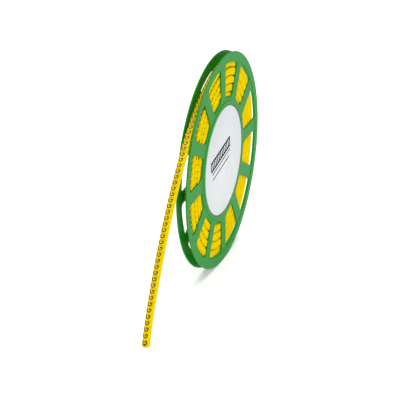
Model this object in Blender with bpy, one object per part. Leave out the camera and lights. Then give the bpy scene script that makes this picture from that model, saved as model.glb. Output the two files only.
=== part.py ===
"""A reel of pre-cut cable markers, standing on its rims with the strip's free end on the floor.

Two thin moulded flanges snap together at a hub. One long hollow strip, notched into short
markers, is wound between them, and its free end arches down in front. A round label sits in
a pocket of the front flange.

The reel's axis runs along Y, the label faces -Y, and the free end reaches towards -X.
"""

import math

import bmesh
import bpy
from mathutils import Matrix, Vector
from mathutils.geometry import interpolate_bezier

MM = 0.001

# The two flanges: a raised rim round a web that lies a little deeper
RIM_RADIUS = 57.5 * MM
RIM_BAND = 4.4 * MM
RIM_WALL = 0.7 * MM
RIM_GAP = 4.35 * MM
RIM_CHAMFER = 0.15 * MM
WEB_RECESS = 0.3 * MM
WEB_WALL = 0.65 * MM
STEP_RUN = 0.5 * MM
TURN_FACETS = 72

# The windows between the spokes
WINDOW_COUNT = 12
WINDOW_INNER_RADIUS = 33.9 * MM
WINDOW_OUTER_RADIUS = 51.7 * MM
WINDOW_DRAFT = 0.6 * MM
WINDOW_CORNER = 2.0 * MM
SPOKE_WIDTH = 6.8 * MM
SPOKE_ANGLE = math.radians(2.4)
INNER_ARC_STEPS = 3
OUTER_ARC_STEPS = 5

# The hub inside, where the halves plug together
HUB_RADIUS = 29.3 * MM
HUB_WALL = 1.2 * MM
FIT_GAP = 0.3 * MM
PEG_COUNT = 3
PEG_RADIUS = 2.0 * MM
PEG_CIRCLE = 20.0 * MM
BOSS_WALL = 1.2 * MM
PEG_FACETS = 16

# The label and its pocket
LABEL_RADIUS = 29.5 * MM
LABEL_WALL = 0.15 * MM
LABEL_GLUE = 0.05 * MM
LABEL_MARGIN = 0.15 * MM
LABEL_FRAME = 1.75 * MM

# One marker of the strip
MARKER_LENGTH = 3.0 * MM
MARKER_WIDTH = 3.3 * MM
MARKER_HEIGHT = 4.3 * MM
SIDE_SWELL = 0.3 * MM
SIDE_STEPS = 4
NOTCH_LENGTH = 0.26 * MM
NOTCH_DEPTH = 0.4 * MM
BORE_WIDTH = 2.0 * MM
BORE_HEIGHT = 2.7 * MM

# The winding, whose turns lie closer together at the reel's two sides and at the top, where the
# strip is drawn off, and looser at the foot
TURN_PITCH = 4.45 * MM
SIDE_PRESS = 0.12
TOP_PRESS = 0.1
TOP_ANGLE = math.radians(110)
TOP_SPREAD = math.radians(28)
FOOT_SLACK = 0.035
FOOT_ANGLE = math.radians(250)
FOOT_SPREAD = math.radians(35)
START_ANGLE = math.radians(-122)
LEAVE_ANGLE = math.radians(95.5)
FULL_TURNS = 4
STEPS_PER_TURN = 48

# The free end
TAIL_MARKERS = 50
TAIL_REACH = 104.6 * MM
TAIL_SPRING = 56.8 * MM
TAIL_DROP_IN = 9.1 * MM
CURVE_SAMPLES = 400
MARKERS_PER_BORE_STEP = 2

# Sizes that follow from the ones above
REEL_WIDTH = RIM_GAP + 2 * RIM_WALL
WEB_FLOOR = WEB_RECESS + WEB_WALL
POCKET_RADIUS = LABEL_RADIUS + LABEL_MARGIN
FRAME_RADIUS = POCKET_RADIUS + LABEL_FRAME
RIM_INNER_RADIUS = RIM_RADIUS - RIM_BAND
COIL_BORE = HUB_RADIUS + FIT_GAP
SECTION_POINTS = 2 * (SIDE_STEPS + 1)


def clear_scene():
    for old in list(bpy.data.objects):
        bpy.data.objects.remove(old, do_unlink=True)


def plastic(name, colour, roughness):
    material = bpy.data.materials.new(name)
    material.use_nodes = True
    shader = material.node_tree.nodes["Principled BSDF"]
    shader.inputs["Base Color"].default_value = (*colour, 1.0)
    shader.inputs["Roughness"].default_value = roughness
    shader.inputs["Metallic"].default_value = 0.0
    return material


def finish_mesh(bm, name, material=None, smooth=True):
    """Close up a bmesh, turn its faces outwards and link it as an object."""
    bmesh.ops.remove_doubles(bm, verts=bm.verts, dist=0.001 * MM)
    bmesh.ops.recalc_face_normals(bm, faces=bm.faces)
    mesh = bpy.data.meshes.new(name)
    bm.to_mesh(mesh)
    bm.free()
    if smooth:
        mesh.shade_smooth()
        mesh.set_sharp_from_angle(angle=math.radians(35))
    if material:
        mesh.materials.append(material)
    made = bpy.data.objects.new(name, mesh)
    bpy.context.collection.objects.link(made)
    return made


def spin_profile(bm, profile, facets):
    """Turn a profile of (radius, y) points about the Y axis, flats lying at the named radii."""
    half_step = math.pi / facets
    turn = Matrix.Rotation(half_step, 3, "Y")
    corners = [bm.verts.new(turn @ Vector((radius / math.cos(half_step), y, 0)))
               for radius, y in profile]
    edges = [bm.edges.new(pair) for pair in zip(corners, corners[1:])]
    if profile[0][0] > 0:
        edges.append(bm.edges.new((corners[-1], corners[0])))
    bmesh.ops.spin(bm, geom=corners + edges, cent=(0, 0, 0), axis=(0, 1, 0),
                   angle=2 * math.pi, steps=facets, use_merge=True)


def turned(name, profile, facets, material=None):
    bm = bmesh.new()
    spin_profile(bm, profile, facets)
    return finish_mesh(bm, name, material)


def as_helper(helper):
    helper.hide_render = True
    helper.display_type = "WIRE"
    return helper


def add_boolean(target, helper, operation):
    cut = target.modifiers.new(helper.name, "BOOLEAN")
    cut.operation = operation
    cut.solver = "EXACT"
    cut.object = helper


def bridge_rings(bm, ring, other):
    count = len(ring)
    for index in range(count):
        after = (index + 1) % count
        bm.faces.new((ring[index], ring[after], other[after], other[index]))


def window_outline(centre, widening):
    """The arc points of one window, anticlockwise as seen from the label's side."""
    half_pitch = math.pi / WINDOW_COUNT
    outline = []
    for radius, steps, way in ((WINDOW_OUTER_RADIUS + widening, OUTER_ARC_STEPS, 1),
                               (WINDOW_INNER_RADIUS - widening, INNER_ARC_STEPS, -1)):
        half_angle = half_pitch - math.asin(SPOKE_WIDTH / 2 / radius)
        for step in range(steps + 1):
            angle = centre + way * half_angle * (2 * step / steps - 1)
            is_corner = step in (0, steps)
            outline.append((radius * math.cos(angle), radius * math.sin(angle), is_corner))
    return outline


def window_cutter(name, outer_face, inward):
    """All the windows of one flange, round-cornered and drafted: wider towards the outer face."""
    bm = bmesh.new()
    levels = []
    for depth in (WEB_RECESS / 2, WEB_FLOOR + WEB_RECESS):
        widening = WINDOW_DRAFT * (WEB_FLOOR - depth) / WEB_WALL
        levels.append((outer_face + inward * depth, widening))
    corner_edges = []
    for window in range(WINDOW_COUNT):
        centre = SPOKE_ANGLE + (window + 0.5) * 2 * math.pi / WINDOW_COUNT
        rings = []
        for y, widening in levels:
            outline = window_outline(centre, widening)
            rings.append([bm.verts.new((x, y, z)) for x, z, _ in outline])
        near, far = rings
        bm.faces.new(near)
        bm.faces.new(far)
        bridge_rings(bm, near, far)
        for (_, _, is_corner), *ends in zip(outline, near, far):
            if is_corner:
                corner_edges.append(bm.edges.get(ends))
    bmesh.ops.bevel(bm, geom=corner_edges, offset=WINDOW_CORNER, segments=3, profile=0.5,
                    affect="EDGES")
    return as_helper(finish_mesh(bm, name, smooth=False))


def flange_profile(outer_face, inward, hub_outer, hub_end):
    """The half section of one flange: pocket, frame, web, rim and hub wall, and back to the axis."""
    hub_inner = hub_outer - HUB_WALL
    steps = [
        (0, WEB_RECESS),
        (POCKET_RADIUS, WEB_RECESS),
        (POCKET_RADIUS, 0),
        (FRAME_RADIUS, 0),
        (FRAME_RADIUS + STEP_RUN, WEB_RECESS),
        (RIM_INNER_RADIUS - STEP_RUN, WEB_RECESS),
        (RIM_INNER_RADIUS, 0),
        (RIM_RADIUS - RIM_CHAMFER, 0),
        (RIM_RADIUS, RIM_CHAMFER),
        (RIM_RADIUS, RIM_WALL - RIM_CHAMFER),
        (RIM_RADIUS - RIM_CHAMFER, RIM_WALL),
        (RIM_INNER_RADIUS + STEP_RUN, RIM_WALL),
        (RIM_INNER_RADIUS, WEB_FLOOR),
        (hub_outer, WEB_FLOOR),
        (hub_outer, hub_end),
        (hub_inner, hub_end),
        (hub_inner, WEB_FLOOR),
        (0, WEB_FLOOR),
    ]
    return [(radius, outer_face + inward * depth) for radius, depth in steps]


def peg_places():
    for peg in range(PEG_COUNT):
        angle = math.pi / 2 + peg * 2 * math.pi / PEG_COUNT
        yield Vector((PEG_CIRCLE * math.cos(angle), 0, PEG_CIRCLE * math.sin(angle)))


def posts(name, profile):
    """The same small turned post at each of the peg places."""
    bm = bmesh.new()
    for place in peg_places():
        post = bmesh.new()
        spin_profile(post, profile, PEG_FACETS)
        bmesh.ops.translate(post, verts=post.verts, vec=place)
        copy = bpy.data.meshes.new(name)
        post.to_mesh(copy)
        post.free()
        bm.from_mesh(copy)
        bpy.data.meshes.remove(copy)
    return as_helper(finish_mesh(bm, name))


def front_flange(material):
    """The half with the hub wall that the strip is wound on, and the bosses for the pegs."""
    face = -REEL_WIDTH / 2
    far_web = REEL_WIDTH - WEB_FLOOR - FIT_GAP
    flange = turned("front_flange", flange_profile(face, 1, HUB_RADIUS, far_web), TURN_FACETS,
                    material)
    bore = PEG_RADIUS + FIT_GAP
    root = face + WEB_RECESS + WEB_WALL / 2
    boss = [(bore, root), (bore + BOSS_WALL, root), (bore + BOSS_WALL, face + far_web),
            (bore, face + far_web)]
    add_boolean(flange, posts("front_bosses", boss), "UNION")
    add_boolean(flange, window_cutter("front_windows", face, 1), "DIFFERENCE")
    return flange


def rear_flange(material):
    """The half with the spigot ring inside the hub wall, and the pegs."""
    face = REEL_WIDTH / 2
    far_web = REEL_WIDTH - WEB_FLOOR - FIT_GAP
    spigot_radius = HUB_RADIUS - HUB_WALL - FIT_GAP
    flange = turned("rear_flange", flange_profile(face, -1, spigot_radius, far_web), TURN_FACETS,
                    material)
    root = face - WEB_RECESS - WEB_WALL / 2
    peg = [(0, root), (PEG_RADIUS, root), (PEG_RADIUS, face - far_web), (0, face - far_web)]
    add_boolean(flange, posts("rear_pegs", peg), "UNION")
    add_boolean(flange, window_cutter("rear_windows", face, -1), "DIFFERENCE")
    return flange


def round_label(material):
    back = -REEL_WIDTH / 2 + WEB_RECESS - LABEL_GLUE
    front = back - LABEL_WALL
    profile = [(0, front), (LABEL_RADIUS, front), (LABEL_RADIUS, back), (0, back)]
    return turned("label", profile, TURN_FACETS, material)


def side_shape():
    """The marker's front side from its base up, as (height, half width) points."""
    shape = []
    for step in range(SIDE_STEPS + 1):
        swing = math.cos(math.pi * step / SIDE_STEPS)
        height = MARKER_HEIGHT * (1 - swing) / 2
        shape.append((height, MARKER_WIDTH / 2 - SIDE_SWELL * abs(swing) ** 3))
    return shape


def marker_section(notch=0.0):
    """The strip's outline as (height, y) points; a notch bites into its sides and its top."""
    side = []
    for step, (height, half_width) in enumerate(side_shape()):
        bite = notch * min(step, 2) / 2
        top_bite = notch if step == SIDE_STEPS else 0.0
        side.append((height - top_bite, half_width - bite))
    return [(height, -half) for height, half in side] + [(height, half) for height, half in side[::-1]]


def bore_section():
    """The hollow of the strip, with as many points as its outline."""
    points = []
    for point in range(SECTION_POINTS):
        angle = (point + 0.5) * 2 * math.pi / SECTION_POINTS
        height = MARKER_HEIGHT / 2 - BORE_HEIGHT / 2 * math.cos(angle)
        points.append((height, -BORE_WIDTH / 2 * math.sin(angle)))
    return points


def nearness(angle, centre, spread):
    """One where the angle meets the centre, fading to nothing on both sides of it."""
    return math.exp(-(math.remainder(angle - centre, 2 * math.pi) / spread) ** 2)


def turn_pitch(angle):
    """How far each turn lies outside the one below it, at one angle round the reel."""
    closer = SIDE_PRESS * math.cos(angle) ** 2 + TOP_PRESS * nearness(angle, TOP_ANGLE, TOP_SPREAD)
    looser = FOOT_SLACK * nearness(angle, FOOT_ANGLE, FOOT_SPREAD)
    return TURN_PITCH * (1 - closer + looser)


def coil_point(step, height, y):
    """A point of the winding: step counts along the strip, height is above the turn's base."""
    angle = START_ANGLE + step * 2 * math.pi / STEPS_PER_TURN
    turns = step / STEPS_PER_TURN + height / MARKER_HEIGHT
    radius = COIL_BORE + turns * turn_pitch(angle)
    return Vector((radius * math.cos(angle), y, radius * math.sin(angle)))


def coil_steps():
    last_part = (LEAVE_ANGLE - START_ANGLE) / (2 * math.pi)
    return round((FULL_TURNS + last_part) * STEPS_PER_TURN)


def tail_curve():
    """The base line of the free end, from the winding to the floor, as closely spaced points."""
    last = coil_steps()
    start = coil_point(last, 0, 0)
    along = (start - coil_point(last - 1, 0, 0)).normalized()
    end = Vector((-TAIL_REACH, 0, -RIM_RADIUS))
    down = Vector((0, 0, -1))
    return interpolate_bezier(start, start + along * TAIL_SPRING, end - down * TAIL_DROP_IN, end,
                              CURVE_SAMPLES)


def along_curve(points, fraction):
    """The place and the outward direction at a fraction of the curve's length."""
    lengths = [(after - before).length for before, after in zip(points, points[1:])]
    wanted = fraction * sum(lengths)
    walked = 0.0
    for index, length in enumerate(lengths):
        if walked + length >= wanted or index == len(lengths) - 1:
            break
        walked += length
    before, after = points[index], points[index + 1]
    forward = (after - before).normalized()
    place = before + forward * (wanted - walked)
    return place, Vector((forward.z, 0, -forward.x))


def ring_at(bm, place, outward, section):
    return [bm.verts.new(place + outward * height + Vector((0, y, 0))) for height, y in section]


def wind_coil(bm):
    """The wound turns as one body: each groove is shared by the turn above and the one below."""
    steps = coil_steps()
    section = marker_section()
    side_count = SIDE_STEPS + 1
    rings = {}
    for step in range(steps, -1, -1):
        ring = [None] * SECTION_POINTS
        above = rings.get(step + STEPS_PER_TURN)
        for point, (height, y) in enumerate(section):
            is_top = point in (side_count - 1, side_count)
            if above and is_top:
                ring[point] = above[0] if point == side_count - 1 else above[-1]
            else:
                ring[point] = bm.verts.new(coil_point(step, height, y))
        rings[step] = ring
    for step in range(steps):
        here, there = rings[step], rings[step + 1]
        for point in range(SECTION_POINTS):
            after = (point + 1) % SECTION_POINTS
            is_base = after == 0
            is_top = point == side_count - 1
            covered_below = is_base and step >= STEPS_PER_TURN
            covered_above = is_top and step + STEPS_PER_TURN < steps
            if covered_below or covered_above:
                continue
            bm.faces.new((here[point], here[after], there[after], there[point]))
    bm.faces.new(rings[0])
    return rings[steps]


def draw_tail(bm, first_ring):
    """The free end, notched at every marker and hollow, joined on to the last wound section."""
    curve = tail_curve()
    notch_share = NOTCH_LENGTH / MARKER_LENGTH
    ring = first_ring
    for marker in range(TAIL_MARKERS):
        stops = [(marker + 1 - notch_share, 0.0), (marker + 1 - notch_share / 2, NOTCH_DEPTH),
                 (marker + 1, 0.0)]
        if marker == TAIL_MARKERS - 1:
            stops = [(TAIL_MARKERS, 0.0)]
        for stop, notch in stops:
            place, outward = along_curve(curve, stop / TAIL_MARKERS)
            next_ring = ring_at(bm, place, outward, marker_section(notch))
            bridge_rings(bm, ring, next_ring)
            ring = next_ring
    bore = None
    for marker in range(TAIL_MARKERS, 0, -MARKERS_PER_BORE_STEP):
        place, outward = along_curve(curve, marker / TAIL_MARKERS)
        next_bore = ring_at(bm, place, outward, bore_section())
        bridge_rings(bm, bore or ring, next_bore)
        bore = next_bore
    bm.faces.new(bore)


def marker_strip(material):
    bm = bmesh.new()
    last_ring = wind_coil(bm)
    draw_tail(bm, last_ring)
    return finish_mesh(bm, "marker_strip", material)


def stand_up(parts):
    """Put the reel on the floor, with the middle of its whole length over the origin."""
    tail_tip = -TAIL_REACH - MARKER_HEIGHT
    middle = (tail_tip + RIM_RADIUS) / 2
    axis = bpy.data.objects.new("reel_axis", None)
    axis.location = (-middle, 0, RIM_RADIUS)
    bpy.context.collection.objects.link(axis)
    for part in parts:
        part.parent = axis
    for helper in bpy.data.objects:
        if helper.hide_render:
            helper.parent = axis


def build():
    clear_scene()
    green = plastic("reel_green", (0.07, 0.37, 0.11), 0.42)
    yellow = plastic("strip_yellow", (0.87, 0.66, 0.01), 0.5)
    white = plastic("label_white", (0.8, 0.82, 0.84), 0.55)
    stand_up([front_flange(green), rear_flange(green), marker_strip(yellow), round_label(white)])


build()
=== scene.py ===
"""The looks of a reel of slip-on cable markers, built round its solid model.

The reel stands on its rims. Its label faces -Y, and the strip's free end arches down towards -X.
"""

import math

import bmesh
import bpy
from mathutils import Matrix, Vector
from mathutils.geometry import interpolate_bezier


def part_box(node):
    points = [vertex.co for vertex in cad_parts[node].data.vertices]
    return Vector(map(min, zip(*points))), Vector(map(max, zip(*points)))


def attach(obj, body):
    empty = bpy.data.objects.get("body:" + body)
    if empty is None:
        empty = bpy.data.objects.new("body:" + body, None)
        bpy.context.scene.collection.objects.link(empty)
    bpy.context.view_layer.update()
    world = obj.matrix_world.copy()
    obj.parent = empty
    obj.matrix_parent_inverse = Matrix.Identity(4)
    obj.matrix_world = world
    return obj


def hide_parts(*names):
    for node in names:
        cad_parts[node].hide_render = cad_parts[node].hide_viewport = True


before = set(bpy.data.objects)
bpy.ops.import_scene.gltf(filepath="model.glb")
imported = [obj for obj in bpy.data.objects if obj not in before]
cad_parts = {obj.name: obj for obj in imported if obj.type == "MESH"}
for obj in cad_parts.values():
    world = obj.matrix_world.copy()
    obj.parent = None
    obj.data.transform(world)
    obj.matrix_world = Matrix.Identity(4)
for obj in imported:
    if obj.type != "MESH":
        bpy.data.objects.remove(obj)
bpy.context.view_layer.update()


# The camera stands a metre off, nearly edge-on to the reel, on the free end's side and a little
# above it. Its small shift puts the reel where the photograph has it in the frame.
CAMERA_TURN = math.radians(-71.286)
CAMERA_RISE = math.radians(21.815)
CAMERA_ROLL = math.radians(0.714)
CAMERA_DISTANCE = 1.0
CAMERA_LENS = 171.9
CAMERA_SHIFT = (-0.0471, -0.1009)
reel_low, reel_high = (Vector(corner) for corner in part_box("front_flange"))
RIM_RADIUS = (reel_high.x - reel_low.x) / 2
REEL_AXIS = Vector(((reel_low.x + reel_high.x) / 2, 0, RIM_RADIUS))
backwards = Vector((math.sin(CAMERA_TURN) * math.cos(CAMERA_RISE),
                    -math.cos(CAMERA_TURN) * math.cos(CAMERA_RISE), math.sin(CAMERA_RISE)))
sideways = Vector((math.cos(CAMERA_TURN), math.sin(CAMERA_TURN), 0))
level = Matrix((sideways, backwards.cross(sideways), backwards)).transposed()
camera = bpy.data.objects.new("camera", bpy.data.cameras.new("camera"))
camera.data.lens = CAMERA_LENS
camera.data.shift_x, camera.data.shift_y = CAMERA_SHIFT
camera.matrix_world = (Matrix.Translation(REEL_AXIS + backwards * CAMERA_DISTANCE)
                       @ (level @ Matrix.Rotation(CAMERA_ROLL, 3, "Z")).to_4x4())
bpy.context.collection.objects.link(camera)
bpy.context.scene.camera = camera


# The reel's green plastic: injection-moulded, with a fine satin grain and faint cloudy patches
# where the melt flowed. Both halves are shot in it.
MM = 0.001
GREEN_LIT = (0.006, 0.29, 0.02, 1)
GREEN_DEEP = (0.004, 0.25, 0.016, 1)
GREEN_GLOSS = 0.1
GREEN_ROUGHNESS = 0.34
GREEN_CLOUDS = 38.0
GREEN_CLOUD_DETAIL = 3.0
GREEN_SPECKS = 900.0
GRAIN_DEPTH = 0.02 * MM


class Wired:
    """A socket in a finish's node tree, so that a mask or a height is written as a sum."""

    def __init__(self, tree, socket=None):
        self.tree = tree
        self.socket = socket

    def put(self, kind, settings=None, sockets=None, out=0):
        """Add a node of one kind: its settings come first, then its sockets' values or links."""
        node = self.tree.nodes.new(kind)
        for name, value in (settings or {}).items():
            setattr(node, name, value)
        for name, value in (sockets or {}).items():
            if isinstance(value, Wired):
                self.tree.links.new(value.socket, node.inputs[name])
            else:
                node.inputs[name].default_value = value
        return Wired(self.tree, node.outputs[out] if node.outputs else None)

    def sum_with(self, operation, first, second):
        return self.put("ShaderNodeMath", {"operation": operation}, {0: first, 1: second})

    def __add__(self, other):
        return self.sum_with("ADD", self, other)

    def __sub__(self, other):
        return self.sum_with("SUBTRACT", self, other)

    def __rsub__(self, other):
        return self.sum_with("SUBTRACT", other, self)

    def __mul__(self, other):
        return self.sum_with("MULTIPLY", self, other)

    __radd__ = __add__
    __rmul__ = __mul__


def new_finish(name, values):
    """A finish whose shader has some plain values, with the start of its expressions."""
    finish = bpy.data.materials.new(name)
    finish.use_nodes = True
    shader = finish.node_tree.nodes["Principled BSDF"]
    for label, value in values.items():
        shader.inputs[label].default_value = value
    return finish, Wired(finish.node_tree), shader


def feed(shader, name, value):
    value.tree.links.new(value.socket, shader.inputs[name])


def grain(start, place, scale, detail=2.0):
    """Cloudy noise through the piece; its scale is in patches a metre."""
    return start.put("ShaderNodeTexNoise", None,
                     {"Vector": place, "Scale": scale, "Detail": detail, "Roughness": 0.55})


def blend(start, share, first, second):
    """The first colour, giving way to the second as the share grows to one."""
    return start.put("ShaderNodeMix", {"data_type": "RGBA"},
                     {0: share, 6: first, 7: second}, out=2)


def fine_bumps(start, specks, strength):
    return start.put("ShaderNodeBump", None,
                     {"Height": specks, "Strength": strength, "Distance": GRAIN_DEPTH})


def moulded_green():
    finish, start, shader = new_finish("reel_green", {"Specular IOR Level": GREEN_GLOSS})
    place = start.put("ShaderNodeTexCoord", out="Object")
    clouds = grain(start, place, GREEN_CLOUDS, GREEN_CLOUD_DETAIL)
    specks = grain(start, place, GREEN_SPECKS)
    feed(shader, "Base Color", blend(start, clouds, GREEN_DEEP, GREEN_LIT))
    feed(shader, "Roughness", GREEN_ROUGHNESS + clouds * 0.1 + specks * 0.08)
    feed(shader, "Normal", fine_bumps(start, specks, 0.25))
    return finish


green = moulded_green()


# The front half of the reel: one moulding with a raised rim, twelve windows between spokes, a
# round pocket for the label, and the hub wall that the strip is wound on. It snaps to the rear.
TURN_FACETS = 144
RIM_BAND = 4.4 * MM
RIM_WALL = 0.7 * MM
RIM_GAP = 4.35 * MM
RIM_CHAMFER = 0.15 * MM
WEB_RECESS = 0.3 * MM
WEB_WALL = 0.65 * MM
STEP_RUN = 0.5 * MM
POCKET_RADIUS = 29.65 * MM
LABEL_FRAME = 1.75 * MM
HUB_RADIUS = 29.3 * MM
HUB_WALL = 1.2 * MM
FIT_GAP = 0.3 * MM
REEL_WIDTH = RIM_GAP + 2 * RIM_WALL
WEB_FLOOR = WEB_RECESS + WEB_WALL
HUB_END = REEL_WIDTH - WEB_FLOOR - FIT_GAP
WINDOW_COUNT = 12
WINDOW_INNER_RADIUS = 33.9 * MM
WINDOW_OUTER_RADIUS = 51.7 * MM
WINDOW_DRAFT = 0.6 * MM
WINDOW_CORNER = 2.0 * MM
OUTER_ARC_STEPS = 10
INNER_ARC_STEPS = 6
CORNER_STEPS = 6
SPOKE_WIDTH = 6.8 * MM
SPOKE_ANGLE = math.radians(2.4)
EDGE_ROUND = 0.1 * MM
EDGE_ANGLE = math.radians(25)


def make_piece(name, mesh):
    piece = bpy.data.objects.new(name, mesh)
    bpy.context.collection.objects.link(piece)
    return piece


def close_mesh(bm, name):
    """The finished shape as a mesh: no doubled points, and every face outwards."""
    bmesh.ops.remove_doubles(bm, verts=bm.verts, dist=0.0005 * MM)
    bmesh.ops.recalc_face_normals(bm, faces=bm.faces)
    mesh = bpy.data.meshes.new(name)
    bm.to_mesh(mesh)
    bm.free()
    mesh.shade_smooth()
    return mesh


def turned(name, profile):
    """Turn a profile of (radius, y) points about Y, with its flats at the named radii."""
    bm = bmesh.new()
    half_step = math.pi / TURN_FACETS
    turn = Matrix.Rotation(half_step, 3, "Y")
    corners = [bm.verts.new(turn @ Vector((radius / math.cos(half_step), y, 0)))
               for radius, y in profile]
    edges = [bm.edges.new(pair) for pair in zip(corners, corners[1:])]
    bmesh.ops.spin(bm, geom=corners + edges, cent=(0, 0, 0), axis=(0, 1, 0), angle=2 * math.pi,
                   steps=TURN_FACETS, use_merge=True)
    return close_mesh(bm, name)


def half_profile(outer_face, inward, hub_outer):
    """One half's section from the axis: pocket, frame, web, rim, hub wall, and back again."""
    frame_radius = POCKET_RADIUS + LABEL_FRAME
    rim_inner = RIM_RADIUS - RIM_BAND
    hub_inner = hub_outer - HUB_WALL
    steps = [
        (0, WEB_RECESS), (POCKET_RADIUS, WEB_RECESS), (POCKET_RADIUS, 0), (frame_radius, 0),
        (frame_radius + STEP_RUN, WEB_RECESS), (rim_inner - STEP_RUN, WEB_RECESS), (rim_inner, 0),
        (RIM_RADIUS - RIM_CHAMFER, 0), (RIM_RADIUS, RIM_CHAMFER),
        (RIM_RADIUS, RIM_WALL - RIM_CHAMFER), (RIM_RADIUS - RIM_CHAMFER, RIM_WALL),
        (rim_inner + STEP_RUN, RIM_WALL), (rim_inner, WEB_FLOOR), (hub_outer, WEB_FLOOR),
        (hub_outer, HUB_END), (hub_inner, HUB_END), (hub_inner, WEB_FLOOR), (0, WEB_FLOOR)]
    return [(radius, outer_face + inward * depth) for radius, depth in steps]


def window_plug(outer_face, inward):
    """What fills one window, centred on +X: drafted, so it is larger at the outer face."""
    bm = bmesh.new()
    rings = []
    corners = set()
    for depth in (WEB_RECESS / 2, WEB_FLOOR + WEB_RECESS):
        widening = WINDOW_DRAFT * (WEB_FLOOR - depth) / WEB_WALL
        ring = []
        for radius, steps, way in ((WINDOW_OUTER_RADIUS + widening, OUTER_ARC_STEPS, 1),
                                   (WINDOW_INNER_RADIUS - widening, INNER_ARC_STEPS, -1)):
            half_angle = math.pi / WINDOW_COUNT - math.asin(SPOKE_WIDTH / 2 / radius)
            for step in range(steps + 1):
                angle = way * half_angle * (2 * step / steps - 1)
                ring.append(bm.verts.new((radius * math.cos(angle), outer_face + inward * depth,
                                          radius * math.sin(angle))))
                if step in (0, steps):
                    corners.add(len(ring) - 1)
        rings.append(ring)
    near, far = rings
    bm.faces.new(near)
    bm.faces.new(far)
    for index in range(len(near)):
        after = (index + 1) % len(near)
        bm.faces.new((near[index], near[after], far[after], far[index]))
    edges = [bm.edges.get((near[index], far[index])) for index in corners]
    bmesh.ops.bevel(bm, geom=edges, offset=WINDOW_CORNER, segments=CORNER_STEPS, profile=0.5,
                    affect="EDGES")
    return close_mesh(bm, "window_plug")


def new_tree(name, inputs):
    """A geometry node tree with named inputs; returns it with its start and its input sockets."""
    tree = bpy.data.node_groups.new(name, "GeometryNodeTree")
    tree.interface.new_socket("Geometry", in_out="OUTPUT", socket_type="NodeSocketGeometry")
    for label, kind in {"Geometry": "Geometry", **inputs}.items():
        tree.interface.new_socket(label, in_out="INPUT", socket_type="NodeSocket" + kind)
    start = Wired(tree)
    entry = start.put("NodeGroupInput").socket.node
    return start, {socket.name: Wired(tree, socket) for socket in entry.outputs if socket.name}


def end_tree(start, made, material):
    """Close a tree: loose copies made real, the finish put on, and the result handed out."""
    real = start.put("GeometryNodeRealizeInstances", None, {"Geometry": made})
    dressed = start.put("GeometryNodeSetMaterial", None, {"Geometry": real, "Material": material})
    start.put("NodeGroupOutput", None, {"Geometry": dressed})
    return start.tree


def with_tree(piece, tree, values):
    """Hang a tree on a piece and set its named inputs."""
    modifier = piece.modifiers.new(tree.name, "NODES")
    modifier.node_group = tree
    for item in tree.interface.items_tree:
        if item.in_out == "INPUT" and item.name in values:
            modifier[item.identifier] = values[item.name]


def worked_out(piece):
    """The piece's mesh with its modifiers worked out; the piece itself goes."""
    depsgraph = bpy.context.evaluated_depsgraph_get()
    mesh = bpy.data.meshes.new_from_object(piece.evaluated_get(depsgraph), depsgraph=depsgraph)
    mesh.name = piece.name
    bpy.data.objects.remove(piece, do_unlink=True)
    return mesh


def made_plain(piece):
    """The piece again as a plain mesh, moved from the origin to the reel's axis."""
    name = piece.name
    mesh = worked_out(piece)
    mesh.transform(Matrix.Translation(REEL_AXIS))
    return make_piece(name, mesh)


def windows_tree():
    """Sets one plug in each window's place round the axis and takes them all out of the disc."""
    start, given = new_tree("reel windows", {"Plug": "Object", "Windows": "Int",
                                             "First angle": "Float", "Finish": "Material"})
    spots = start.put("GeometryNodePoints", None, {"Count": given["Windows"]})
    number = start.put("GeometryNodeInputIndex")
    share = start.sum_with("DIVIDE", number + 0.5, given["Windows"])
    turn = start.put("ShaderNodeCombineXYZ", None,
                     {"Y": -2 * math.pi * share - given["First angle"]})
    plug = start.put("GeometryNodeObjectInfo", None, {"Object": given["Plug"]}, out="Geometry")
    plugs = start.put("GeometryNodeInstanceOnPoints", None,
                      {"Points": spots, "Instance": plug, "Rotation": turn})
    plugs = start.put("GeometryNodeRealizeInstances", None, {"Geometry": plugs})
    cut = start.put("GeometryNodeMeshBoolean", {"operation": "DIFFERENCE", "solver": "EXACT"},
                    {"Mesh 1": given["Geometry"], "Mesh 2": plugs})
    return end_tree(start, cut, given["Finish"])


def half_reel(name, outer_face, inward, hub_outer):
    """One half of the reel, cut, with every edge slightly rounded, in its place."""
    half = make_piece(name, turned(name, half_profile(outer_face, inward, hub_outer)))
    plug = make_piece("plug", window_plug(outer_face, inward))
    with_tree(half, windows_cut, {"Plug": plug, "Windows": WINDOW_COUNT,
                                  "First angle": SPOKE_ANGLE, "Finish": green})
    rounding = half.modifiers.new("edges", "BEVEL")
    rounding.width = EDGE_ROUND
    rounding.segments = 2
    rounding.limit_method = "ANGLE"
    rounding.angle_limit = EDGE_ANGLE
    half.modifiers.new("even shading", "WEIGHTED_NORMAL")
    half = made_plain(half)
    bpy.data.objects.remove(plug, do_unlink=True)
    return half


windows_cut = windows_tree()
front = half_reel("reel_front_half", -REEL_WIDTH / 2, 1, HUB_RADIUS)
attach(front, "root")
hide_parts("front_flange")


# The rear half of the reel: the same moulding, but its hub ring is a spigot that plugs into the
# front half's hub wall. Its pocket is plain.
rear = half_reel("reel_rear_half", REEL_WIDTH / 2, -1, HUB_RADIUS - HUB_WALL - FIT_GAP)
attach(rear, "root")
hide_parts("rear_flange")


# The strip of markers: short soft sleeves in bright yellow, extruded as one hollow strip and cut
# nearly through, so that they hang together at the base and fan out a little where it bends.
YELLOW_LIT = (0.92, 0.69, 0.001, 1)
YELLOW_DEEP = (0.86, 0.61, 0.001, 1)
YELLOW_GLOSS = 0.0
YELLOW_ROUGHNESS = 0.42
YELLOW_CLOUDS = 160.0
YELLOW_SPECKS = 1500.0
TINT_SHARE = 0.6
TINT_SEED = 5
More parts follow.
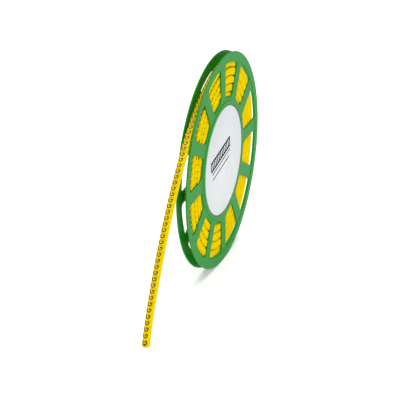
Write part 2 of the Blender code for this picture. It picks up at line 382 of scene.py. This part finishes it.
# Painted shade on the sleeves: dark in the open cuts' mouths and in the creases between turns,
# stronger in the creases under the spokes, and only where the strip lies slack.
STRIP_PAINTED_SHADE = (0.05, 0.02, 0.002, 1)
CUT_PAINTED_SHADE_FROM = 0.66
CUT_PAINTED_SHADE_FULL = 0.84
CREASE_PAINTED_SHADE = 0.14
SPOKE_PAINTED_SHADOW = 1.1
# One sleeve, and how deep it is cut from the next.
MARKER_LENGTH = 3.0 * MM
MARKER_WIDTH = 3.3 * MM
MARKER_HEIGHT = 4.3 * MM
MARKER_CORNER = 0.85 * MM
MARKER_CUT = 0.08 * MM
MARKER_CHAMFER = 0.15 * MM
UNCUT_BASE = 0.6 * MM
BASE_CUT_SHARE = 0.02
BORE_WIDTH = 2.0 * MM
BORE_HEIGHT = 2.7 * MM
BORE_END = 0.3 * MM
SLEEVE_SHARP = math.radians(40)
# The winding: how far its turns lie apart, and where they press closer or hang looser.
TURN_PITCH = 4.45 * MM
NEST_SHARE = 0.98
SIDE_PRESS = 0.12
TOP_PRESS = 0.1
TOP_ANGLE = math.radians(110)
TOP_SPREAD = math.radians(28)
FOOT_SLACK = 0.035
FOOT_ANGLE = math.radians(262)
FOOT_SPREAD = math.radians(38)
START_ANGLE = math.radians(-122)
LEAVE_ANGLE = math.radians(95.5)
FULL_TURNS = 4
UNPRESS_TURN = math.radians(20)
PATH_STEP = math.radians(0.5)
# The free end, from where it leaves the reel down to the floor.
TAIL_REACH = 104.6 * MM
TAIL_SPRING = 56.8 * MM
TAIL_DROP_IN = 9.1 * MM
TAIL_POINTS = 100
TAIL_SLACK = 0.3
# The strip's play between the two halves, and its swelling into the windows.
STRIP_SHIFT = -0.1 * MM
SIDE_PLAY = 0.07 * MM
PLAY_SEED = 11
SIDE_SWAY = 0.25 * MM
SWAY_PER_METRE = 25.0
OUTER_CALM = 0.6
TIGHT_ANGLE = math.radians(-20)
TIGHT_SPREAD = math.radians(50)
WINDOW_SWELL = 0.55 * MM
SWELL_RUN = 0.6 * MM
SWELL_UNDER = 0.6 * MM
# How far past a spoke's edge the painted shadow in the creases fades out.
SPOKE_SHADOW_RUN = 1.2 * MM


def ramp(value, low, high):
    """A share that is none up to the low value and whole from the high one."""
    return value.put("ShaderNodeMath", {"operation": "MULTIPLY", "use_clamp": True},
                     {0: value - low, 1: 1 / (high - low)})


def soft_yellow():
    """Each sleeve has its own tint, with painted shade at the cuts' mouths and in the turns'
    creases, deepest where a spoke shades them.
    """
    finish, start, shader = new_finish("strip_yellow", {"Specular IOR Level": YELLOW_GLOSS})
    place = start.put("ShaderNodeTexCoord", out="Object")
    clouds = grain(start, place, YELLOW_CLOUDS)
    specks = grain(start, place, YELLOW_SPECKS)
    tint, along, mouth, crease, slack, cover = (
        start.put("ShaderNodeAttribute", {"attribute_name": label}, out="Fac")
        for label in ("tint", "along", "mouth", "crease", "slack", "cover"))
    near_end = start.put("ShaderNodeMath", {"operation": "ABSOLUTE"}, {0: along})
    # Painted shade: the cuts' open mouths and the turns' creases darkened, more so under a spoke.
    painted_shade = (ramp(near_end, CUT_PAINTED_SHADE_FROM, CUT_PAINTED_SHADE_FULL) * mouth
              + crease * (CREASE_PAINTED_SHADE + cover * SPOKE_PAINTED_SHADOW))
    skin = blend(start, tint * TINT_SHARE + clouds * (1 - TINT_SHARE), YELLOW_DEEP, YELLOW_LIT)
    feed(shader, "Base Color", blend(start, painted_shade * slack, skin, STRIP_PAINTED_SHADE))
    feed(shader, "Roughness", YELLOW_ROUGHNESS + clouds * 0.12)
    feed(shader, "Normal", fine_bumps(start, specks, 0.3))
    return finish


def clamped(value):
    return min(1.0, max(0.0, value))


def nearness(angle, centre, spread):
    """One where the angle meets the centre, fading to nothing on both sides of it."""
    return math.exp(-(math.remainder(angle - centre, 2 * math.pi) / spread) ** 2)


def turn_pitch(angle):
    """How far each turn lies outside the one below it, at one angle round the reel."""
    closer = SIDE_PRESS * math.cos(angle) ** 2 + TOP_PRESS * nearness(angle, TOP_ANGLE, TOP_SPREAD)
    looser = FOOT_SLACK * nearness(angle, FOOT_ANGLE, FOOT_SPREAD)
    return TURN_PITCH * (1 - closer + looser)


def looseness(angle):
    """Turns lie loose all round, but tight on the side away from the strip's free end."""
    return 1 - nearness(angle, TIGHT_ANGLE, TIGHT_SPREAD)


def past_spoke(angle, radius):
    """How far a place on the strip lies inside the nearest window; below none under a spoke."""
    step = 2 * math.pi / WINDOW_COUNT
    off_middle = abs(math.remainder(angle - SPOKE_ANGLE - step / 2, step))
    return (step / 2 - off_middle) * radius - SPOKE_WIDTH / 2


def swelling(angle, radius):
    """How far a turn, pressed together by the spokes, swells forward into a window."""
    inside = past_spoke(angle, radius) + SWELL_UNDER
    lower = radius - WINDOW_INNER_RADIUS + MARKER_CORNER
    higher = WINDOW_OUTER_RADIUS + MARKER_CORNER - radius - MARKER_HEIGHT
    share = clamped(min(inside, lower, higher) / SWELL_RUN)
    return WINDOW_SWELL * looseness(angle) * share * share * (3 - 2 * share)


def strip_path():
    """The line of the strip's base, wound from the hub out and then down to the floor.

    Each point carries the share of a marker's full height that its turn has there, how slack the
    strip lies, and how far under a spoke it lies, which sets the painted shadow in its creases.
    """
    points = []
    leave = LEAVE_ANGLE + FULL_TURNS * 2 * math.pi
    steps = round((leave - START_ANGLE) / PATH_STEP)
    for step in range(steps + 1):
        angle = START_ANGLE + (leave - START_ANGLE) * step / steps
        pitch = turn_pitch(angle)
        radius = HUB_RADIUS + FIT_GAP + pitch * (angle - START_ANGLE) / (2 * math.pi)
        place = Vector((radius * math.cos(angle), STRIP_SHIFT - swelling(angle, radius),
                        radius * math.sin(angle)))
        pressed = pitch / MARKER_HEIGHT * NEST_SHARE
        freed = clamped((angle - leave + 2 * math.pi) / UNPRESS_TURN)
        points.append((place, pressed + (1 - pressed) * freed,
                       looseness(angle) * (1 - OUTER_CALM * freed),
                       clamped(1 - past_spoke(angle, radius) / SPOKE_SHADOW_RUN)))
    start = points[-1][0]
    along = (start - points[-2][0]).normalized()
    end = Vector((-TAIL_REACH, STRIP_SHIFT, -RIM_RADIUS))
    down = Vector((0, 0, -1))
    tail = interpolate_bezier(start, start + along * TAIL_SPRING, end - down * TAIL_DROP_IN, end,
                              TAIL_POINTS)
    points += [(place, 1.0, TAIL_SLACK * (1 - index / len(tail)), 0.0)
               for index, place in enumerate(tail[1:])]
    return points


path = strip_path()
path_length = sum((after[0] - before[0]).length for before, after in zip(path, path[1:]))
MARKER_COUNT = round(path_length / MARKER_LENGTH)
marker_pitch = path_length / MARKER_COUNT


def store(mesh, label, values):
    """Keep one number for each point of a mesh."""
    mesh.attributes.new(label, "FLOAT", "POINT").data.foreach_set("value", values)


def path_piece(name):
    """The path as a line of edges that a tree can follow, with its points' rise and the rest."""
    mesh = bpy.data.meshes.new(name)
    places, rises, slacks, spoke_shadows = zip(*path)
    mesh.from_pydata(places, [(index, index + 1) for index in range(len(path) - 1)], [])
    store(mesh, "rise", rises)
    store(mesh, "slack", slacks)
    store(mesh, "cover", spoke_shadows)
    return make_piece(name, mesh)


def marker_outline(inset=0.0):
    """The marker's section as (y, z) points: a box on its base line with small round corners."""
    outline = []
    radius = MARKER_CORNER - inset
    for corner in range(4):
        side_y = 1 if corner in (0, 3) else -1
        side_z = 1 if corner in (0, 1) else -1
        for step in range(4):
            angle = (corner + step / 3) * math.pi / 2
            outline.append((side_y * (MARKER_WIDTH / 2 - MARKER_CORNER) + radius * math.cos(angle),
                            MARKER_HEIGHT / 2 + side_z * (MARKER_HEIGHT / 2 - MARKER_CORNER)
                            + radius * math.sin(angle)))
    return outline


def loft(bm, rings):
    """Join rings of points by side faces; returns the made rings."""
    made = [[bm.verts.new(point) for point in ring] for ring in rings]
    for ring, other in zip(made, made[1:]):
        for index in range(len(ring)):
            after = (index + 1) % len(ring)
            bm.faces.new((ring[index], ring[after], other[after], other[index]))
    return made


def cut_share(height):
    """How far the cut between two markers is open: hardly at the base, fully at the top."""
    return max(BASE_CUT_SHARE, (height - UNCUT_BASE) / (MARKER_HEIGHT - UNCUT_BASE))


def marker_rings():
    """Four sections along one marker; its end edges are chamfered where the cut is open."""
    rings = []
    for side, at_end in ((-1, True), (-1, False), (1, False), (1, True)):
        ring = []
        for (y, z), (inner_y, inner_z) in zip(marker_outline(), marker_outline(MARKER_CHAMFER)):
            share = cut_share(z)
            reach = (marker_pitch - MARKER_CUT * share) / 2
            if at_end:
                point = (side * reach, y + (inner_y - y) * share, z + (inner_z - z) * share)
            else:
                point = (side * (reach - MARKER_CHAMFER * share), y, z)
            ring.append(point)
        rings.append(ring)
    return rings


def crease_share(point):
    """How deep a point lies in the crease between two turns, for its painted shade: fully
    mid-corner.
    """
    across = (abs(point.y) - MARKER_WIDTH / 2) / MARKER_CORNER + 1
    up = (abs(point.z - MARKER_HEIGHT / 2) - MARKER_HEIGHT / 2) / MARKER_CORNER + 1
    return min(1.0, 4 * max(0.0, across) ** 2 * max(0.0, up) ** 2)


def plain_marker():
    """One sleeve, with its middle over the origin, its base on it, and its length along X."""
    bm = bmesh.new()
    made = loft(bm, marker_rings())
    bm.faces.new(made[0])
    bm.faces.new(made[-1])
    mesh = close_mesh(bm, "marker")
    points = [vert.co.copy() for vert in mesh.vertices]
    store(mesh, "along", [point.x / (marker_pitch / 2) for point in points])
    # Masks for the painted shade: the top of each cut's mouth, and the corners where turns crease.
    store(mesh, "mouth", [max(0.0, (point.z - MARKER_HEIGHT) / MARKER_CORNER + 1)
                          for point in points])
    store(mesh, "crease", [crease_share(point) for point in points])
    return mesh


def chance(start, seed):
    """A random share for each place, the same at every run."""
    return start.put("FunctionNodeRandomValue", {"data_type": "FLOAT"}, {"Seed": seed}, out=1)


def named(start, label):
    return start.put("GeometryNodeInputNamedAttribute", {"data_type": "FLOAT"}, {"Name": label})


def vector_with(start, operation, first, second):
    return start.put("ShaderNodeVectorMath", {"operation": operation}, {0: first, 1: second})


def along_strip_tree():
    """Sets copies of a piece in a row, one for each marker, and bends the row to the path."""
    start, given = new_tree("along the strip", {
        "Piece": "Object", "First": "Int", "Last": "Int", "Pitch": "Float", "Finish": "Material"})
    number = start.put("GeometryNodeInputIndex")
    spots = start.put("GeometryNodePoints", None, {
        "Count": given["Last"] - given["First"],
        "Position": start.put("ShaderNodeCombineXYZ", None, {
            "X": (number + given["First"] + 0.5) * given["Pitch"]})})
    piece = start.put("GeometryNodeObjectInfo", None, {"Object": given["Piece"]}, out="Geometry")
    copies = start.put("GeometryNodeInstanceOnPoints", None, {"Points": spots, "Instance": piece})
    for label, seed in (("tint", TINT_SEED), ("play", PLAY_SEED)):
        copies = start.put("GeometryNodeStoreNamedAttribute",
                           {"data_type": "FLOAT", "domain": "INSTANCE"},
                           {"Geometry": copies, "Name": label, "Value": chance(start, seed)})
    row = start.put("GeometryNodeRealizeInstances", None, {"Geometry": copies})
    here = start.put("GeometryNodeInputPosition")
    split = here.put("ShaderNodeSeparateXYZ", None, {"Vector": here}).socket.node
    along, across, height = (Wired(start.tree, socket) for socket in split.outputs)
    line = start.put("GeometryNodeMeshToCurve", None, {"Mesh": given["Geometry"]})
    rise, slack, cover = (
        start.put("GeometryNodeSampleCurve", {"mode": "LENGTH", "data_type": "FLOAT"},
                  {"Curves": line, "Length": along, "Value": named(start, label)})
        for label in ("rise", "slack", "cover"))
    place, tangent = (Wired(start.tree, rise.socket.node.outputs[name])
                      for name in ("Position", "Tangent"))
    outward = vector_with(start, "CROSS_PRODUCT", (0, 1, 0), tangent)
    outward = start.put("ShaderNodeVectorMath", {"operation": "SCALE"},
                        {"Vector": outward, "Scale": height * rise})
    sway = start.put("ShaderNodeTexNoise", {"noise_dimensions": "1D"},
                     {"W": along, "Scale": SWAY_PER_METRE, "Detail": 1.0})
    play = (named(start, "play") - 0.5) * 2 * SIDE_PLAY + (sway - 0.5) * SIDE_SWAY
    sideways = start.put("ShaderNodeCombineXYZ", None, {"Y": play * slack - across})
    bent = vector_with(start, "ADD", vector_with(start, "ADD", place, outward), sideways)
    # The slack and the spoke's painted shadow go on to the finish.
    for label, value in (("slack", slack), ("cover", cover)):
        row = start.put("GeometryNodeStoreNamedAttribute",
                        {"data_type": "FLOAT", "domain": "POINT"},
                        {"Geometry": row, "Name": label, "Value": value})
    row = start.put("GeometryNodeSetPosition", None, {"Geometry": row, "Position": bent})
    return end_tree(start, row, given["Finish"])


def end_marker():
    """The last sleeve, with its bore open where the strip was cut off."""
    bm = bmesh.new()
    outer = marker_rings()[:3]
    outer.append([(marker_pitch / 2, y, z) for y, z in marker_outline()])
    made = loft(bm, outer)
    bm.faces.new(made[0])
    bore = []
    for x in (marker_pitch / 2, -marker_pitch / 2 + BORE_END):
        ring = []
        for y, z in marker_outline():
            angle = math.atan2(z - MARKER_HEIGHT / 2, y)
            ring.append((x, BORE_WIDTH / 2 * math.cos(angle),
                         MARKER_HEIGHT / 2 + BORE_HEIGHT / 2 * math.sin(angle)))
        bore.append(ring)
    inner = loft(bm, bore)
    for index in range(len(inner[0])):
        after = (index + 1) % len(inner[0])
        bm.faces.new((made[-1][index], made[-1][after], inner[0][after], inner[0][index]))
    bm.faces.new(inner[-1])
    return close_mesh(bm, "end_marker")


yellow = soft_yellow()
along_strip = along_strip_tree()


def copies_along(name, mesh, first, last, finish):
    """A piece made of copies of one small mesh along the strip."""
    one = make_piece("one", mesh)
    line = path_piece(name)
    with_tree(line, along_strip, {"Piece": one, "First": first, "Last": last,
                                  "Pitch": marker_pitch, "Finish": finish})
    copies = made_plain(line)
    bpy.data.objects.remove(one, do_unlink=True)
    return copies


markers = copies_along("markers", plain_marker(), 0, MARKER_COUNT - 1, yellow)
last_marker = copies_along("end_marker", end_marker(), MARKER_COUNT - 1, MARKER_COUNT, yellow)
for piece in (markers, last_marker):
    piece.data.set_sharp_from_angle(angle=SLEEVE_SHARP)
    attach(piece, "root")
    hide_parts("marker_strip")


# The print: the same dark capital on every marker's outer face, across the strip, nearer the
# rear edge. It is shown on the free end and the outermost turn, where it can be seen.
INK = (0.04, 0.018, 0.002, 1)
INK_ROUGHNESS = 0.6
LETTER = "G"
LETTER_TALL = 2.5 * MM
LETTER_LONG = 2.0 * MM
LETTER_SHIFT = 0.1 * MM
LETTER_THICKEN = 0.035
LETTER_SKIN = 0.005
INK_LIFT = 0.012 * MM
TAIL_MARKERS = 50
PRINTED_TURNS = 1.1
OUTER_TURN_SHARE = 0.9


def printed_letter():
    """The letter as a thin skin that follows the top of a marker, reading towards the reel.

    The font's own units, in which it is one high, hold for how far its strokes are thickened.
    """
    words = bpy.data.curves.new("letter", "FONT")
    words.body = LETTER
    words.resolution_u = 2
    words.extrude = LETTER_SKIN
    words.offset = LETTER_THICKEN
    mesh = worked_out(make_piece("letter", words))
    lows = [min(vert.co[axis] for vert in mesh.vertices) for axis in range(2)]
    highs = [max(vert.co[axis] for vert in mesh.vertices) for axis in range(2)]
    for vert in mesh.vertices:
        across = (vert.co.y - lows[1]) / (highs[1] - lows[1]) - 0.5
        along = (vert.co.x - lows[0]) / (highs[0] - lows[0]) - 0.5
        y = -across * LETTER_TALL - LETTER_SHIFT
        beyond = max(0.0, abs(y) - (MARKER_WIDTH / 2 - MARKER_CORNER))
        drop = MARKER_CORNER - math.sqrt(max(0.0, MARKER_CORNER ** 2 - beyond ** 2))
        lift = INK_LIFT * (2.0 if vert.co.z > 0 else 0.5)
        vert.co = (-along * LETTER_LONG, y, MARKER_HEIGHT - drop + lift)
    return mesh


ink = new_finish("marker_ink", {"Base Color": INK, "Roughness": INK_ROUGHNESS})[0]
outer_turn = 2 * math.pi * RIM_RADIUS * OUTER_TURN_SHARE
printed_length = outer_turn * PRINTED_TURNS + TAIL_MARKERS * MARKER_LENGTH
first_printed = MARKER_COUNT - round(printed_length / marker_pitch)
letters = copies_along("marker_letters", printed_letter(), first_printed, MARKER_COUNT, ink)
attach(letters, "root")


# The label: a round of white film, cut from a sheet and glued into the front half's pocket. A
# hairline of painted shade runs round its rim, where the pocket's wall shades it.
LABEL_RADIUS = 29.5 * MM
LABEL_WALL = 0.15 * MM
LABEL_GLUE = 0.05 * MM
LABEL_CHAMFER = 0.04 * MM
LABEL_SHARP = math.radians(50)
FILM_WHITE = (0.74, 0.775, 0.795, 1)
FILM_DULL = (0.7, 0.735, 0.755, 1)
# Painted shade: a dark green-grey hairline round the label's rim, where the pocket's wall shades
# it.
LABEL_RIM_PAINTED_SHADE = (0.06, 0.12, 0.09, 1)
RIM_SHADE_RADIUS = 29.1 * MM
RIM_SHADE_FADE = 0.1 * MM
FILM_ROUGHNESS = 0.4
FILM_CLOUDS = 60.0


def white_film():
    finish, start, shader = new_finish("label_white", {})
    place = start.put("ShaderNodeTexCoord", out="Object")
    clouds = grain(start, place, FILM_CLOUDS)
    from_middle = vector_with(start, "SUBTRACT", place, tuple(REEL_AXIS))
    radius = start.put("ShaderNodeVectorMath", {"operation": "LENGTH"}, {0: from_middle},
                       out="Value")
    # Painted shade round the rim, where the pocket's wall shades the film.
    edge = ramp(radius, RIM_SHADE_RADIUS, RIM_SHADE_RADIUS + RIM_SHADE_FADE)
    film = blend(start, clouds, FILM_DULL, FILM_WHITE)
    feed(shader, "Base Color", blend(start, edge, film, LABEL_RIM_PAINTED_SHADE))
    feed(shader, "Roughness", FILM_ROUGHNESS + clouds * 0.1)
    return finish


label_back = -REEL_WIDTH / 2 + WEB_RECESS - LABEL_GLUE
label_front = label_back - LABEL_WALL
label_profile = [
    (0, label_front), (LABEL_RADIUS - LABEL_CHAMFER, label_front),
    (LABEL_RADIUS, label_front + LABEL_CHAMFER), (LABEL_RADIUS, label_back), (0, label_back)]
label = make_piece("label_disc", turned("label_disc", label_profile))
label.data.transform(Matrix.Translation(REEL_AXIS))
label.data.set_sharp_from_angle(angle=LABEL_SHARP)
label.data.materials.append(white_film())
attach(label, "root")
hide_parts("label")


# The label's print: a write-in field of upright cells and two ruled lines below it, in dark ink.
# It stands a little turned, as the label was stuck on by hand.
PRINT_INK = (0.03, 0.03, 0.03, 1)
PRINT_ROUGHNESS = 0.55
PRINT_SHARP = math.radians(40)
FIELD_LONG = 30.5 * MM
FIELD_TALL = 6.0 * MM
FIELD_CELLS = 12
FIELD_LINE = 1.2 * MM
FIELD_MIDDLE = (-5.2 * MM, 5.2 * MM)
FIELD_TURN = math.radians(9.5)
RULED_PLACES = ((0.5 * MM, -4.6 * MM), (0, -7.9 * MM))
RULED_LONGS = (28.5 * MM, 26.0 * MM)
RULED_LINE = 0.7 * MM
PRINT_LIFT = 0.01 * MM


def printed_field():
    """Thin flat bars: the field's frame, the walls between its cells, and the ruled lines.

    All are placed from the field's middle, which itself is placed from the reel's axis.
    """
    bars = [(0, side * (FIELD_TALL - FIELD_LINE) / 2, FIELD_LONG, FIELD_LINE) for side in (-1, 1)]
    cell = (FIELD_LONG - FIELD_LINE) / FIELD_CELLS
    bars += [((number - FIELD_CELLS / 2) * cell, 0, FIELD_LINE, FIELD_TALL - 2 * FIELD_LINE)
             for number in range(FIELD_CELLS + 1)]
    bars += [(x, z, long, RULED_LINE) for (x, z), long in zip(RULED_PLACES, RULED_LONGS)]
    bm = bmesh.new()
    for x, z, wide, tall in bars:
        corners = [bm.verts.new((x + wide / 2 * side_x, 0, z + tall / 2 * side_z))
                   for side_x, side_z in ((-1, -1), (1, -1), (1, 1), (-1, 1))]
        bm.faces.new(corners)
    bmesh.ops.solidify(bm, geom=bm.faces[:], thickness=PRINT_LIFT)
    mesh = close_mesh(bm, "label_print")
    middle = REEL_AXIS + Vector((FIELD_MIDDLE[0], label_front, FIELD_MIDDLE[1]))
    mesh.transform(Matrix.Translation(middle) @ Matrix.Rotation(-FIELD_TURN, 4, "Y"))
    return mesh


label_print = make_piece("label_print", printed_field())
label_print.data.set_sharp_from_angle(angle=PRINT_SHARP)
label_print.data.materials.append(
    new_finish("label_ink", {"Base Color": PRINT_INK, "Roughness": PRINT_ROUGHNESS})[0])
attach(label_print, "root")


# The floor and the lights of the studio: a wide pale table that glows a little, one large soft
# light straight overhead, and a small one from the label's side.
FLOOR_HALF = 3.0
FLOOR_FINISH = {"Base Color": (0.94, 0.94, 0.94, 1), "Roughness": 0.9,
                "Specular IOR Level": 0.0, "Emission Color": (0.985, 0.985, 1, 1),
                "Emission Strength": 0.28}
WORLD_WHITE = (1, 1, 1, 1)
WORLD_STRENGTH = 0.46


def soft_light(name, place, target, size, power):
    """A round lamp, its size across in metres and its power in watts, turned to its target."""
    light = bpy.data.lights.new(name, "AREA")
    light.shape = "DISK"
    light.size = size
    light.energy = power
    lamp = bpy.data.objects.new(name, light)
    lamp.location = place
    lamp.rotation_euler = (Vector(target) - Vector(place)).to_track_quat("-Z", "Y").to_euler()
    bpy.context.collection.objects.link(lamp)


bm = bmesh.new()
bmesh.ops.create_grid(bm, x_segments=1, y_segments=1, size=FLOOR_HALF)
floor_mesh = bpy.data.meshes.new("floor")
bm.to_mesh(floor_mesh)
bm.free()
floor = make_piece("floor", floor_mesh)
floor.data.materials.append(new_finish("studio_floor", FLOOR_FINISH)[0])
soft_light("overhead", place=(0.03, 0, 1.9), target=(0, 0, 0), size=2.0, power=33.0)
soft_light("label_side", place=(-0.6, -0.7, 0.7), target=(0, 0, 0.05), size=0.6, power=0.9)
world = bpy.data.worlds.new("studio")
world.use_nodes = True
background = world.node_tree.nodes["Background"]
background.inputs["Color"].default_value = WORLD_WHITE
background.inputs["Strength"].default_value = WORLD_STRENGTH
bpy.context.scene.world = world
bpy.context.scene.view_settings.view_transform = "Standard"
